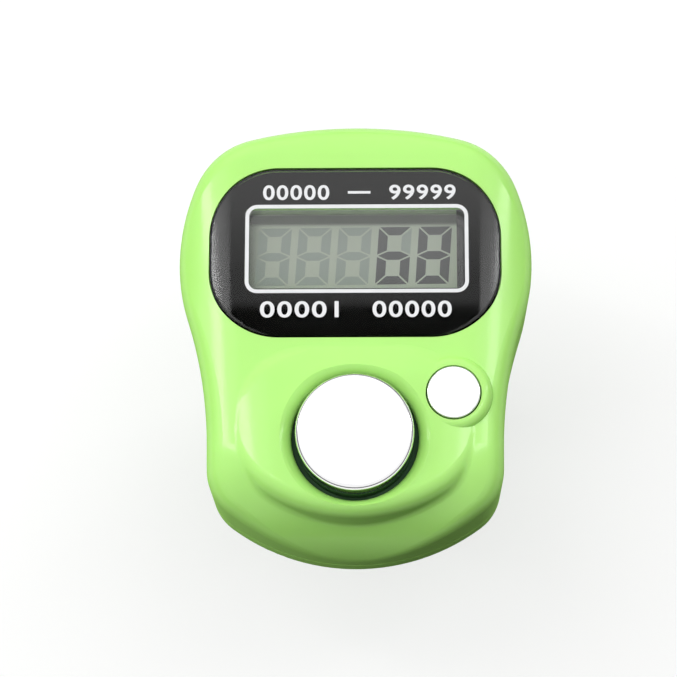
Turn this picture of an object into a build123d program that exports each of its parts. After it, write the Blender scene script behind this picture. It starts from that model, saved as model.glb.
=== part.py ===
from build123d import *
from math import atan2, cos, degrees, radians, sin, tan
import os

# Finger counter with a crowned two-part case, a lens over a small display, two push buttons and
# a finger band. Millimetres. +X is right of the display, +Y its top, +Z out of its face.
# The origin is the centre of the finger loop, on the middle plane of the band.

# Finger loop and band
finger_bore = 18.5  # inner diameter of the loop
band_width = 8.0
band_thickness = 1.2
band_play = 0.2  # room round the band where it passes through something
band_lean = 10.0  # degrees that the band's sides lean in above the finger
band_corner = 4.0  # centreline radius where the band turns in under the case
tail_angle = 48.0  # degrees of the loop that the free tail covers
tail_gap = 0.2  # between the tail and the layer inside it
head_length = 8.0
head_wall = 1.0
head_round = 1.0

# Bridge that the band runs under, with a saddle for the finger
bridge_length = 8.5
bridge_bar = 1.2
bridge_leg = 1.4
bridge_corner = 1.2

# Case outline about the window's centre: ends, then the corners of its sides and their radii
window_y = 6.6  # window centre above the band's middle plane
top_end = 10.87
bottom_end = -25.6
flank_x = 15.83  # half width at the widest corner, before it is rounded
flank_y = 0.0
flank_radius = 16.4
shoulder_in = 3.42  # in from the flank's corner
shoulder_drop = 2.2  # down from the top end
shoulder_radius = 6.9
waist_in = 3.54
waist_y = -11.6
waist_radius = 37.0
heel_in = 3.6
heel_rise = 4.9  # up from the bottom end
heel_radius = 4.2

# Case walls and parting line
shell_wall = 1.5
rear_floor = 1.2
rear_depth = 3.2  # back face to parting line
back_round = 1.5
parting_bevel = 0.15
lip_height = 0.8
lip_thickness = 0.7
lip_play = 0.1

# Crowned face: flat in the middle, rolled down at the sides, the top end and the nose
crown_flat = 9.3  # half width of the flat
crown_side = 7.5  # radius of the side roll
crown_side_turn = 62.0
crown_top = 6.0  # radius of the roll at the top end
crown_top_start = 3.0  # from the top end in to the start of that roll
crown_nose = 9.0  # radius of the nose
crown_nose_past = 0.35  # the nose would turn upright this far past the bottom end
crown_turn = 84.0  # degrees of the two end rolls
edge_round = 1.8

# Lens and its mask
lens_width = 24.3
lens_length = 14.6
lens_corner = 5.8
lens_y = -0.6
lens_depth = 1.4  # flat face to the floor of the lens recess
lens_proud = 0.15
lens_play = 0.08
lens_round = 0.3
mask_thickness = 0.1
mask_inset = 0.05
window_width = 18.5
window_length = 7.1
window_corner = 0.6
window_ledge = 1.5  # shell left under the lens recess
opening_margin = 0.25  # shell opening outside the clear window, each side

# Display
polariser_width = 17.9
polariser_length = 9.6
polariser_x = -0.4
polariser_thickness = 0.15
glass_width = 22.6
glass_length = 12.6
glass_thickness = 0.7
contact_ledge = 2.0  # front glass left bare below the rear glass
reflector_thickness = 0.2
display_play = 0.15
display_rib = 0.8
display_rib_height = 1.4
zebra_width = 18.0
zebra_depth = 1.7
zebra_height = 1.65

# Circuit board and what is on it
board_thickness = 1.0
board_play = 0.4
board_below_dome = 0.9
blob_x = -7.6
blob_y = -13.2
blob_radius = 2.6
blob_height = 1.0
chip_length = 1.6
chip_width = 0.8
chip_height = 0.5
chip_pitch = 1.9
chip_count = 3  # in each row
capacitor_x = -9.0
capacitor_y = -1.5
resistor_x = 9.0
resistor_y = 3.6

# Button cell and its contacts
cell_radius = 5.8
cell_height = 3.1
cell_y = -3.0
cell_cap_radius = 4.6
cell_cap_height = 0.35
cell_bevel = 0.3
cell_play = 0.2
cradle_wall = 0.8
cradle_below_top = 0.9
contact_sheet = 0.25
contact_width = 4.0
contact_bend = 0.4
contact_tail = 3.0
leaf_gap = 0.55  # board to cell
leaf_width = 3.0
leaf_flat = 0.8
leaf_slope = 2.0
leaf_foot = 1.7
leaf_bend = 2.0

# Count button on its oval boss
count_up = 9.27  # centre above the bottom end
count_radius = 4.85
count_height = 1.75  # above the boss
count_round = 0.45
count_dish = 0.2  # height of the gently domed top
count_wall = 0.9
count_plunger = 1.8
count_gap = 0.4  # round the button in its hole
count_rim = 1.4
count_travel = 0.8
boss_half_width = 10.4
boss_half_length = 7.6
boss_end_radius = 6.6
boss_shift = 1.1  # oval's centre above the button's
boss_rise = 0.45
boss_flat = 6.5  # half width of its level top
boss_side = 12.0  # radius of its roll to the sides
boss_upper = 9.0  # radius of its roll towards the lens
boss_upper_start = 4.8  # above the button's centre
boss_turn = 40.0  # degrees of these rolls
boss_round = 1.5
boss_foot = 0.9  # radius of the hollow round its foot
boss_draft = 8.0  # degrees
boss_depth = 5.0  # buried foot below the flat face

# Reset button in its collar
reset_x = 8.1
reset_up = 3.54  # centre above the count button's
reset_radius = 2.2
reset_height = 0.6  # above the flat face
reset_round = 0.15
reset_gap = 0.1
reset_travel = 0.6
collar_radius = 3.25
collar_rise = 0.45
collar_round = 0.8

# Flanges, return domes and contact pills of both buttons
flange_width = 0.6
flange_thickness = 0.8
flange_play = 0.05
pocket_play = 0.3
rim_turn = 70.0  # degrees of the rolled edge round a button's hole
rim_over = 10.0  # further degrees, where the roll's cutter leaves the surface
count_dome_radius = 4.5
reset_dome_radius = 2.6
dome_foot = 0.5  # height of the foot ring
dome_rim = 0.4  # width of the foot ring's top
dome_skirt = 0.5
dome_top = 0.6
dome_boss_start = 1.0
count_dome_plate = 2.4
reset_dome_plate = 1.3
count_dome_boss = 1.7
reset_dome_boss = 0.65
pill_inset = 0.2
pill_thickness = 0.4
pill_margin = 0.03  # left between pill and board at full travel

# Screws
case_screw_radius = 0.8
case_screw_length = 6.0
case_head_radius = 1.35
case_head_height = 0.9
case_post_radius = 1.8
case_sink = 0.2  # head below the back face
sleeve_wall = 0.6  # rear cover round the sunk head
case_screw_drop = 3.05  # upper screw below the top end
case_screw_rise = 6.1  # lower screws above the bottom end
case_screw_in = 4.1  # lower screws in from the heels
board_screw_radius = 0.6
board_screw_length = 3.2
board_head_radius = 1.2
board_head_height = 0.7
board_post_radius = 1.4
board_screw_drop = 3.4  # upper screws below the top end
board_screw_in = 7.6  # upper screws in from the shoulders
board_screw_rise = 3.05  # lower screws above the waist
board_screw_off = 2.55  # lower screws in from the waist
screw_play = 0.1
thread_play = 0.02
head_play = 0.15
drive_width = 0.28
drive_depth = 0.4
point_share = 0.5  # of a shaft's radius, taken off at its point
bevel_share = 0.33  # of a head's height, taken off at its edge

# Heights, stacked up from the finger
loop_radius = finger_bore / 2
bar_top = loop_radius + bridge_bar
band_mid = bar_top + band_play + band_thickness / 2
back = bar_top + band_thickness + 2 * band_play
floor_top = back + rear_floor
parting = back + rear_depth
cell_bottom = floor_top + contact_sheet
cell_top = cell_bottom + cell_height
board_bottom = cell_top + leaf_gap
board_top = board_bottom + board_thickness
glass_bottom = board_top + zebra_height
glass_top = glass_bottom + glass_thickness
ledge_bottom = glass_top + polariser_thickness
recess_floor = ledge_bottom + window_ledge
face = recess_floor + lens_depth
boss_top = face + boss_rise
count_top = boss_top + count_height
flange_top = face - shell_wall - flange_play
flange_bottom = flange_top - flange_thickness
case_seat = back + case_sink + case_head_height
glass_y = lens_y
glass_foot = glass_y - glass_length / 2
shoulder_x = flank_x - shoulder_in
shoulder_y = top_end - shoulder_drop
waist_x = flank_x - waist_in
heel_x = flank_x - heel_in
heel_y = bottom_end + heel_rise
count_y = bottom_end + count_up
reset_y = count_y + reset_up
case_screw_y = bottom_end + case_screw_rise
case_screw_x = heel_x - case_screw_in
case_screw_spots = [
    (0, top_end - case_screw_drop),
    (-case_screw_x, case_screw_y),
    (case_screw_x, case_screw_y),
]
board_screw_spots = [
    (side * x, y)
    for x, y in [
        (shoulder_x - board_screw_in, top_end - board_screw_drop),
        (waist_x - board_screw_off, waist_y + board_screw_rise),
    ]
    for side in (-1, 1)
]
boss_flare = (boss_depth + boss_rise) * tan(radians(boss_draft))
nose_start = bottom_end - crown_nose_past + crown_nose
riser_x = cell_radius + cell_play + cradle_wall / 2
strap_radius = loop_radius + band_thickness / 2
band_layer = band_thickness + tail_gap
left_drop = band_layer / (1 + sin(radians(band_lean)))  # keeps the left side off the finger's circle
left_radius = strap_radius + band_layer - left_drop
corner_x = strap_radius / cos(radians(band_lean)) - band_mid * tan(radians(band_lean))
head_bottom = -strap_radius - band_layer - band_thickness / 2 - tail_gap / 2 - head_wall
above = 8.0  # reach of cutters past the surface they cut

os.makedirs("parts", exist_ok=True)


def level(z):
    """Sketch plane at height z with its origin over the window's centre."""
    return Plane((0, window_y, z))


def case_outline(inset=0.0):
    """Mirrored outline of the case, drawn in from its outer wall by inset."""
    with BuildSketch() as outline:
        with BuildLine():
            top = ThreePointArc((-shoulder_x, shoulder_y), (0, top_end), (shoulder_x, shoulder_y))
            Polyline(top @ 1, (flank_x, flank_y), (waist_x, waist_y), (heel_x, heel_y))
            ThreePointArc((heel_x, heel_y), (0, bottom_end), (-heel_x, heel_y))
            Polyline((-heel_x, heel_y), (-waist_x, waist_y), (-flank_x, flank_y), top @ 0)
        make_face()
        fillet(outline.vertices().group_by(Axis.Y)[2], flank_radius)
        fillet(outline.vertices().group_by(Axis.Y)[1], waist_radius)
        fillet(outline.vertices().group_by(Axis.Y)[-1], shoulder_radius)
        fillet(outline.vertices().group_by(Axis.Y)[0], heel_radius)
        if inset:
            offset(amount=-inset, mode=Mode.REPLACE)
    return outline.sketch


def oval(half_width, half_length, end_radius, grow):
    """Oval of four tangent arcs, grown outwards by grow."""
    ends = half_width - end_radius
    side_radius = (ends**2 + half_length**2 - end_radius**2) / (2 * (half_length - end_radius))
    sides = side_radius - half_length
    turn = degrees(atan2(sides, ends))
    with BuildSketch() as shape:
        with BuildLine():
            CenterArc((ends, 0), end_radius + grow, -turn, 2 * turn)
            CenterArc((0, -sides), side_radius + grow, turn, 180 - 2 * turn)
            CenterArc((-ends, 0), end_radius + grow, 180 - turn, 2 * turn)
            CenterArc((0, sides), side_radius + grow, 180 + turn, 180 - 2 * turn)
        make_face()
    return shape.sketch


def swept_crown(spine, level_line, flat, side, turn):
    """Everything above a surface that is level across its flat and rolled down at both sides."""
    with BuildPart() as cutter:
        with BuildSketch(Plane(level_line @ 0, x_dir=(1, 0, 0), z_dir=level_line % 0)):
            with BuildLine():
                right = CenterArc((flat, -side), side, 90, -turn)
                left = CenterArc((-flat, -side), side, 90, turn)
                Line(left @ 0, right @ 0)
                outer = flank_x + above
                end_y = (right @ 1).Y
                Polyline(
                    right @ 1,
                    (outer, end_y),
                    (outer, above),
                    (-outer, above),
                    (-outer, end_y),
                    left @ 1,
                )
            make_face()
        sweep(path=spine)
    return cutter.part


def crown_cutter(depth):
    """Everything above the crowned face, or above the surface that lies depth under it."""
    with BuildLine(Plane.YZ) as spine:
        roll_start = window_y + top_end - crown_top_start
        roll_end = 90 - crown_turn
        roll = CenterArc((roll_start, face - crown_top), crown_top - depth, roll_end, crown_turn)
        flat = Line(roll @ 1, (window_y + nose_start, face - depth))
        CenterArc((window_y + nose_start, face - crown_nose), crown_nose - depth, 90, crown_turn)
    return swept_crown(spine.wire(), flat, crown_flat, crown_side - depth, crown_side_turn)


def boss_cutter():
    """Everything above the boss, whose top dips to the sides and towards the lens."""
    with BuildLine(Plane.YZ) as spine:
        roll_start = window_y + count_y + boss_upper_start
        roll_end = 90 - boss_turn
        roll = CenterArc((roll_start, boss_top - boss_upper), boss_upper, roll_end, boss_turn)
        flat = Line(roll @ 1, (window_y + bottom_end, boss_top))
    return swept_crown(spine.wire(), flat, boss_flat, boss_side, boss_turn)


def upright_walls(solid):
    """Faces of a solid whose normals lie level."""
    return solid.faces().filter_by(lambda wall: abs(wall.normal_at(wall.center()).Z) < 0.01)


def spin_plane(x, y):
    """Upright sketch plane through the axis at x, y: local x is the radius, local y the height."""
    return Plane((x, window_y + y, 0), x_dir=(1, 0, 0), z_dir=(0, -1, 0))


def spin_axis(x, y):
    """Upright axis of a turned piece."""
    return Axis((x, window_y + y, 0), (0, 0, 1))


def button_bore(x, y, radius, top, rim):
    """Cutter for a button's hole, flared to a rounded rim where it meets the height top."""
    with BuildPart() as bore:
        with BuildSketch(spin_plane(x, y)):
            with BuildLine():
                curve_z = top - rim * sin(radians(rim_turn))
                curve = CenterArc((radius + rim, curve_z), rim, 180, -rim_turn - rim_over)
                Polyline(
                    curve @ 1,
                    (radius + rim, top + above),
                    (0, top + above),
                    (0, flange_bottom),
                    (radius, flange_bottom),
                    curve @ 0,
                )
            make_face()
        revolve(axis=spin_axis(x, y))
    return bore.part


outline = case_outline()
inner_outline = case_outline(shell_wall)
lip_outline = case_outline(shell_wall + lip_play)
tray_outline = case_outline(shell_wall + lip_play + lip_thickness)
board_outline = case_outline(shell_wall + board_play)
crown = crown_cutter(0)
inner_crown = crown_cutter(shell_wall)
lens_crown = crown_cutter(-lens_proud)
count_bore = button_bore(0, count_y, count_radius + count_gap, boss_top, count_rim)

# Oval boss round the count button: drafted out to its buried foot, with a top of its own
with BuildPart() as boss:
    with BuildSketch(level(face - boss_depth)):
        with Locations((0, count_y + boss_shift)):
            add(oval(boss_half_width, boss_half_length, boss_end_radius, boss_flare))
    extrude(amount=boss_depth + boss_rise + boss_round, taper=boss_draft)
    add(boss_cutter(), mode=Mode.SUBTRACT)
    rim = boss.faces().filter_by(GeomType.CONE).edges().filter_by(GeomType.LINE, reverse=True)
    fillet(rim.filter_by(lambda edge: edge.center().Z > face - boss_depth / 2), boss_round)

# Collar round the reset button
with BuildPart() as collar:
    with BuildSketch(level(ledge_bottom)):
        with Locations((reset_x, reset_y)):
            Circle(collar_radius)
    extrude(amount=face + collar_rise - ledge_bottom)
    fillet(collar.edges().group_by(Axis.Z)[-1], collar_round)

# Space inside the front shell: its own outline and crown, less the ledge under the lens
with BuildPart() as hollow:
    with BuildSketch(level(parting)):
        add(inner_outline)
    extrude(amount=face - parting)
    add(inner_crown, mode=Mode.SUBTRACT)
    with BuildSketch(level(ledge_bottom)):
        with Locations((0, lens_y)):
            RectangleRounded(
                lens_width + 2 * shell_wall, lens_length + 2 * shell_wall, lens_corner + shell_wall
            )
    extrude(amount=above, mode=Mode.SUBTRACT)

# Front shell: crowned housing with boss, collar, lens recess, guides and posts
with BuildPart() as front_shell:
    with BuildSketch(level(parting)):
        add(outline)
    extrude(amount=face - parting + above / 2)
    add(crown, mode=Mode.SUBTRACT)
    rim = upright_walls(front_shell).edges().filter_by(Axis.Z, reverse=True)
    fillet(rim.filter_by(lambda edge: edge.center().Z > parting + edge_round), edge_round)
    chamfer(front_shell.edges().group_by(Axis.Z)[0], parting_bevel)
    add(boss.part)
    fillet(front_shell.edges(Select.NEW), boss_foot)
    add(collar.part)
    add(hollow.part, mode=Mode.SUBTRACT)
    with BuildSketch(level(recess_floor)):
        with Locations((0, lens_y)):
            RectangleRounded(
                lens_width + 2 * lens_play, lens_length + 2 * lens_play, lens_corner + lens_play
            )
    extrude(amount=above, mode=Mode.SUBTRACT)
    with BuildSketch(level(ledge_bottom)):
        Rectangle(window_width + 2 * opening_margin, window_length + 2 * opening_margin)
    extrude(amount=above, mode=Mode.SUBTRACT)
    with BuildSketch(level(ledge_bottom)):
        with Locations((0, glass_y)):
            Rectangle(
                glass_width + 2 * (display_play + display_rib),
                glass_length + 2 * (display_play + display_rib),
            )
            Rectangle(glass_width + 2 * display_play, glass_length + 2 * display_play, mode=Mode.SUBTRACT)
    extrude(amount=-display_rib_height)
    with BuildSketch(level(board_top)):
        with Locations(*board_screw_spots):
            Circle(board_post_radius)
    extrude(amount=recess_floor - board_top)
    with BuildSketch(level(parting)):
        with Locations(*case_screw_spots):
            Circle(case_post_radius)
    extrude(amount=recess_floor - parting)
    with BuildSketch(level(board_top)):
        with Locations(*board_screw_spots):
            Circle(board_screw_radius + thread_play)
    extrude(amount=board_screw_length - board_thickness + screw_play, mode=Mode.SUBTRACT)
    with BuildSketch(level(parting)):
        with Locations(*case_screw_spots):
            Circle(case_screw_radius + thread_play)
    extrude(amount=case_seat + case_screw_length + screw_play - parting, mode=Mode.SUBTRACT)
    with BuildSketch(level(board_top)):
        with Locations((0, count_y)):
            Circle(count_radius + flange_width + pocket_play)
        with Locations((reset_x, reset_y)):
            Circle(reset_radius + flange_width + pocket_play)
    extrude(amount=face - shell_wall - board_top, mode=Mode.SUBTRACT)
    add(count_bore, mode=Mode.SUBTRACT)
    with BuildSketch(level(flange_bottom)):
        with Locations((reset_x, reset_y)):
            Circle(reset_radius + reset_gap)
    extrude(amount=above, mode=Mode.SUBTRACT)

# Rear cover: tray with a lip, screw sleeves, cell cradle and the bridge that holds the band
with BuildPart() as rear_cover:
    with BuildSketch(level(back)):
        add(outline)
    extrude(amount=rear_depth)
    fillet(rear_cover.edges().group_by(Axis.Z)[0], back_round)
    chamfer(rear_cover.edges().group_by(Axis.Z)[-1], parting_bevel)
    with BuildSketch(level(parting)):
        add(lip_outline)
    extrude(amount=lip_height)
    with BuildSketch(level(floor_top)):
        add(tray_outline)
    extrude(amount=above, mode=Mode.SUBTRACT)
    with BuildSketch(level(floor_top)):
        with Locations(*case_screw_spots):
            Circle(case_head_radius + head_play + sleeve_wall)
    extrude(amount=parting - floor_top)
    with BuildSketch(level(floor_top)):
        with Locations((0, cell_y)):
            Circle(cell_radius + cell_play + cradle_wall)
            Circle(cell_radius + cell_play, mode=Mode.SUBTRACT)
            Rectangle(
                riser_x + cradle_wall,
                contact_width + 2 * cell_play,
                align=(Align.MIN, Align.CENTER),
                mode=Mode.SUBTRACT,
            )
    extrude(amount=cell_top - cradle_below_top - floor_top)
    with BuildSketch(level(parting)):
        with Locations(*case_screw_spots):
            Circle(case_post_radius + lip_play)
    extrude(amount=above, mode=Mode.SUBTRACT)
    with BuildSketch(level(back)):
        with Locations(*case_screw_spots):
            Circle(case_screw_radius + screw_play)
    extrude(amount=rear_depth, mode=Mode.SUBTRACT)
    with BuildSketch(level(back)):
        with Locations(*case_screw_spots):
            Circle(case_head_radius + head_play)
    extrude(amount=case_seat - back, mode=Mode.SUBTRACT)
    with BuildSketch(Plane.XY.offset(back)):
        RectangleRounded(bridge_length, band_width + 2 * (band_play + bridge_leg), bridge_corner)
    extrude(amount=loop_radius / 2 - back)
    with BuildSketch(Plane.XZ):
        Circle(loop_radius)
    extrude(amount=band_width, both=True, mode=Mode.SUBTRACT)
    with BuildSketch(Plane.YZ):
        with Locations((0, (bar_top + back) / 2)):
            Rectangle(band_width + 2 * band_play, back - bar_top)
    extrude(amount=bridge_length, both=True, mode=Mode.SUBTRACT)

# Finger band: one strap round the finger, its tail threaded back through its own head
with BuildPart() as finger_band:
    with BuildSketch(Plane.XZ):
        with Locations((0, head_bottom)):
            Rectangle(head_length, -head_bottom, align=(Align.CENTER, Align.MIN))
        Circle(loop_radius, mode=Mode.SUBTRACT)
    extrude(amount=band_width / 2 + band_play + head_wall, both=True)
    fillet(finger_band.edges().filter_by(Axis.Z), head_round)
    with BuildSketch(Plane.XZ):
        with BuildLine():
            CenterArc((0, -left_drop), left_radius, 180, 90)
            CenterArc((0, 0), strap_radius + band_layer, -90, tail_angle)
        trace(line_width=band_thickness + tail_gap)
    extrude(amount=band_width / 2 + band_play, both=True, mode=Mode.SUBTRACT)
    with BuildSketch(Plane.XZ):
        with BuildLine():
            right = CenterArc((0, 0), strap_radius, -90, 90 + band_lean)
            left = CenterArc((0, -left_drop), left_radius, 180 - band_lean, 90 + band_lean)
            FilletPolyline(
                right @ 1, (corner_x, band_mid), (-corner_x, band_mid), left @ 0, radius=band_corner
            )
            CenterArc((0, 0), strap_radius + band_layer, -90, tail_angle)
        trace(line_width=band_thickness)
    extrude(amount=band_width / 2, both=True)

# Lens: clear moulding that follows the crown of the shell and stands a little proud of it
with BuildPart() as display_lens:
    with BuildSketch(level(recess_floor + mask_thickness)):
        with Locations((0, lens_y)):
            RectangleRounded(lens_width, lens_length, lens_corner)
    extrude(amount=above / 2)
    add(lens_crown, mode=Mode.SUBTRACT)
    rim = upright_walls(display_lens).edges().filter_by(Axis.Z, reverse=True)
    fillet(rim.filter_by(lambda edge: edge.center().Z > recess_floor + lens_depth / 3), lens_round)

# Dark mask under the lens, open over the display
with BuildPart() as lens_mask:
    with BuildSketch(level(recess_floor)):
        with Locations((0, lens_y)):
            RectangleRounded(
                lens_width - 2 * mask_inset, lens_length - 2 * mask_inset, lens_corner - mask_inset
            )
        RectangleRounded(window_width, window_length, window_corner, mode=Mode.SUBTRACT)
    extrude(amount=mask_thickness)


def sheet(width, length, x, y, bottom, thickness):
    """Flat rectangular piece standing on height bottom."""
    with BuildPart() as piece:
        with BuildSketch(level(bottom)):
            with Locations((x, y)):
                Rectangle(width, length)
        extrude(amount=thickness)
    return piece.part


# Display: two glasses between polariser and reflector, joined to the board by a zebra strip
rear_glass_length = glass_length - contact_ledge
rear_glass_bottom = glass_bottom - glass_thickness
lcd_front_polariser = sheet(
    polariser_width, polariser_length, polariser_x, 0, glass_top, polariser_thickness
)
lcd_front_glass = sheet(glass_width, glass_length, 0, glass_y, glass_bottom, glass_thickness)
lcd_rear_glass = sheet(
    glass_width, rear_glass_length, 0, glass_y + contact_ledge / 2, rear_glass_bottom, glass_thickness
)
lcd_reflector = sheet(
    polariser_width,
    polariser_length,
    polariser_x,
    0,
    rear_glass_bottom - reflector_thickness,
    reflector_thickness,
)
zebra_strip = sheet(zebra_width, zebra_depth, 0, glass_foot + contact_ledge / 2, board_top, zebra_height)

# Circuit board, cut short under the nose and notched round the case posts
with BuildPart() as circuit_board:
    with BuildSketch(level(board_bottom)):
        add(board_outline)
        with Locations((0, count_y - count_dome_radius - board_below_dome)):
            Rectangle(2 * flank_x, -bottom_end, align=(Align.CENTER, Align.MAX), mode=Mode.SUBTRACT)
        with Locations(*case_screw_spots):
            Circle(case_post_radius + board_play, mode=Mode.SUBTRACT)
        with Locations(*board_screw_spots):
            Circle(board_screw_radius + screw_play, mode=Mode.SUBTRACT)
    extrude(amount=board_thickness)


# Resin drop over the counter chip, under the board
with BuildPart() as chip_blob:
    with BuildSketch(spin_plane(blob_x, blob_y)):
        with BuildLine():
            drop = TangentArc(
                (0, board_bottom - blob_height), (blob_radius, board_bottom), tangent=(1, 0)
            )
            Polyline(drop @ 1, (0, board_bottom), drop @ 0)
        make_face()
    revolve(axis=spin_axis(blob_x, blob_y))

# Chip parts in two rows under the board
with BuildPart() as chip_capacitors:
    with BuildSketch(level(board_bottom)):
        with Locations((capacitor_x, capacitor_y)):
            with GridLocations(0, chip_pitch, 1, chip_count):
                Rectangle(chip_length, chip_width)
    extrude(amount=-chip_height)

with BuildPart() as chip_resistors:
    with BuildSketch(level(board_bottom)):
        with Locations((resistor_x, resistor_y)):
            with GridLocations(0, chip_pitch, 1, chip_count):
                Rectangle(chip_length, chip_width)
    extrude(amount=-chip_height / 2)

# Button cell with its smaller cap towards the board
with BuildPart() as button_cell:
    with BuildSketch(spin_plane(0, cell_y)):
        with BuildLine():
            Polyline(
                (0, cell_bottom),
                (cell_radius, cell_bottom),
                (cell_radius, cell_top - cell_cap_height),
                (cell_cap_radius, cell_top - cell_cap_height),
                (cell_cap_radius, cell_top),
                (0, cell_top),
                close=True,
            )
        make_face()
    revolve(axis=spin_axis(0, cell_y))
    chamfer(button_cell.edges().filter_by(GeomType.CIRCLE).group_by(Axis.Z)[0], cell_bevel)

# Contact strip under the cell, up through the cradle's gap to the board
with BuildPart() as positive_contact:
    with BuildSketch(spin_plane(0, cell_y)):
        with BuildLine():
            FilletPolyline(
                (-cell_cap_radius, floor_top + contact_sheet / 2),
                (riser_x, floor_top + contact_sheet / 2),
                (riser_x, board_bottom - contact_sheet / 2),
                (riser_x + contact_tail, board_bottom - contact_sheet / 2),
                radius=contact_bend,
            )
        trace(line_width=contact_sheet)
    extrude(amount=contact_width / 2, both=True)

# Bowed leaf between board and cell
with BuildPart() as negative_contact:
    with BuildSketch(spin_plane(0, cell_y)):
        with BuildLine():
            leaf_high = board_bottom - contact_sheet / 2
            leaf_low = cell_top + contact_sheet / 2
            FilletPolyline(
                (-leaf_flat - leaf_slope - leaf_foot, leaf_high),
                (-leaf_flat - leaf_slope, leaf_high),
                (-leaf_flat, leaf_low),
                (leaf_flat, leaf_low),
                (leaf_flat + leaf_slope, leaf_high),
                (leaf_flat + leaf_slope + leaf_foot, leaf_high),
                radius=leaf_bend,
            )
        trace(line_width=contact_sheet)
    extrude(amount=leaf_width / 2, both=True)

# Count button: plated cap, hollow round its plunger, with a flange that keeps it in the shell
with BuildPart() as count_button:
    with BuildSketch(spin_plane(0, count_y)) as profile:
        with BuildLine():
            crest = TangentArc((0, count_top), (count_radius, count_top - count_dish), tangent=(1, 0))
            Polyline(
                crest @ 1,
                (count_radius, flange_top),
                (count_radius + flange_width, flange_top),
                (count_radius + flange_width, flange_bottom),
                (count_radius - count_wall, flange_bottom),
                (count_radius - count_wall, count_top - count_dish - count_wall),
                (count_plunger, count_top - count_dish - count_wall),
                (count_plunger, flange_bottom),
                (0, flange_bottom),
                crest @ 0,
            )
        make_face()
        fillet(profile.vertices().sort_by(Axis.Y)[-2], count_round)
    revolve(axis=spin_axis(0, count_y))

# Reset button: small solid cap with its flange
with BuildPart() as reset_button:
    with BuildSketch(spin_plane(reset_x, reset_y)) as profile:
        with BuildLine():
            Polyline(
                (0, face + reset_height),
                (reset_radius, face + reset_height),
                (reset_radius, flange_top),
                (reset_radius + flange_width, flange_top),
                (reset_radius + flange_width, flange_bottom),
                (0, flange_bottom),
                close=True,
            )
        make_face()
        fillet(profile.vertices().group_by(Axis.Y)[-1].sort_by(Axis.X)[-1], reset_round)
    revolve(axis=spin_axis(reset_x, reset_y))


def return_dome(x, y, foot_radius, plate_radius, boss_radius, pill_top):
    """Soft dome from the board up to a button's flange, with a boss inside that carries the pill."""
    with BuildPart() as dome:
        with BuildSketch(spin_plane(x, y)):
            with BuildLine():
                Polyline(
                    (0, flange_bottom),
                    (plate_radius, flange_bottom),
                    (plate_radius, flange_bottom - dome_top),
                    (foot_radius - dome_rim, board_top + dome_foot),
                    (foot_radius, board_top + dome_foot),
                    (foot_radius, board_top),
                    (foot_radius - dome_rim - dome_skirt, board_top),
                    (plate_radius - dome_skirt, flange_bottom - dome_boss_start),
                    (boss_radius, flange_bottom - dome_boss_start),
                    (boss_radius, pill_top),
                    (0, pill_top),
                    close=True,
                )
            make_face()
        revolve(axis=spin_axis(x, y))
    return dome.part


def contact_pill(x, y, radius, travel):
    """Carbon pill held above the board by the button's travel."""
    with BuildPart() as pill:
        with BuildSketch(level(board_top + travel + pill_margin)):
            with Locations((x, y)):
                Circle(radius)
        extrude(amount=pill_thickness)
    return pill.part


count_pill_top = board_top + count_travel + pill_margin + pill_thickness
reset_pill_top = board_top + reset_travel + pill_margin + pill_thickness
count_dome = return_dome(
    0, count_y, count_dome_radius, count_dome_plate, count_dome_boss, count_pill_top
)
reset_dome = return_dome(
    reset_x, reset_y, reset_dome_radius, reset_dome_plate, reset_dome_boss, reset_pill_top
)
count_pill = contact_pill(0, count_y, count_dome_boss - pill_inset, count_travel)
reset_pill = contact_pill(reset_x, reset_y, reset_dome_boss - pill_inset / 2, reset_travel)


def screw_set(spots, seat, shaft_radius, shaft_length, head_radius, head_height):
    """Screws standing on their heads: round head below the seat, shaft above it, crossed drive."""
    with BuildPart() as screws:
        with BuildSketch(level(seat)):
            with Locations(*spots):
                Circle(shaft_radius)
        extrude(amount=shaft_length)
        chamfer(screws.edges().group_by(Axis.Z)[-1], shaft_radius * point_share)
        with BuildSketch(level(seat)):
            with Locations(*spots):
                Circle(head_radius)
        extrude(amount=-head_height)
        chamfer(screws.edges().group_by(Axis.Z)[0], head_height * bevel_share)
        with BuildSketch(level(seat - head_height)):
            with Locations(*spots):
                Rectangle(head_radius, drive_width)
                Rectangle(drive_width, head_radius)
        extrude(amount=drive_depth, mode=Mode.SUBTRACT)
    return screws.part


case_screws = screw_set(
    case_screw_spots,
    case_seat,
    case_screw_radius,
    case_screw_length,
    case_head_radius,
    case_head_height,
)
board_screws = screw_set(
    board_screw_spots,
    board_bottom,
    board_screw_radius,
    board_screw_length,
    board_head_radius,
    board_head_height,
)

pieces = {
    "front_shell": front_shell.part,
    "rear_cover": rear_cover.part,
    "finger_band": finger_band.part,
    "display_lens": display_lens.part,
    "lens_mask": lens_mask.part,
    "lcd_front_polariser": lcd_front_polariser,
    "lcd_front_glass": lcd_front_glass,
    "lcd_rear_glass": lcd_rear_glass,
    "lcd_reflector": lcd_reflector,
    "zebra_strip": zebra_strip,
    "circuit_board": circuit_board.part,
    "chip_blob": chip_blob.part,
    "chip_capacitors": chip_capacitors.part,
    "chip_resistors": chip_resistors.part,
    "button_cell": button_cell.part,
    "positive_contact": positive_contact.part,
    "negative_contact": negative_contact.part,
    "count_button": count_button.part,
    "reset_button": reset_button.part,
    "count_dome": count_dome,
    "reset_dome": reset_dome,
    "count_pill": count_pill,
    "reset_pill": reset_pill,
    "case_screws": case_screws,
    "board_screws": board_screws,
}
for name, piece in pieces.items():
    piece.label = name
    export_step(piece, f"parts/{name}.step")
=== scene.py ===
import math

import bmesh
import bpy
from mathutils import Matrix, Vector


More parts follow.
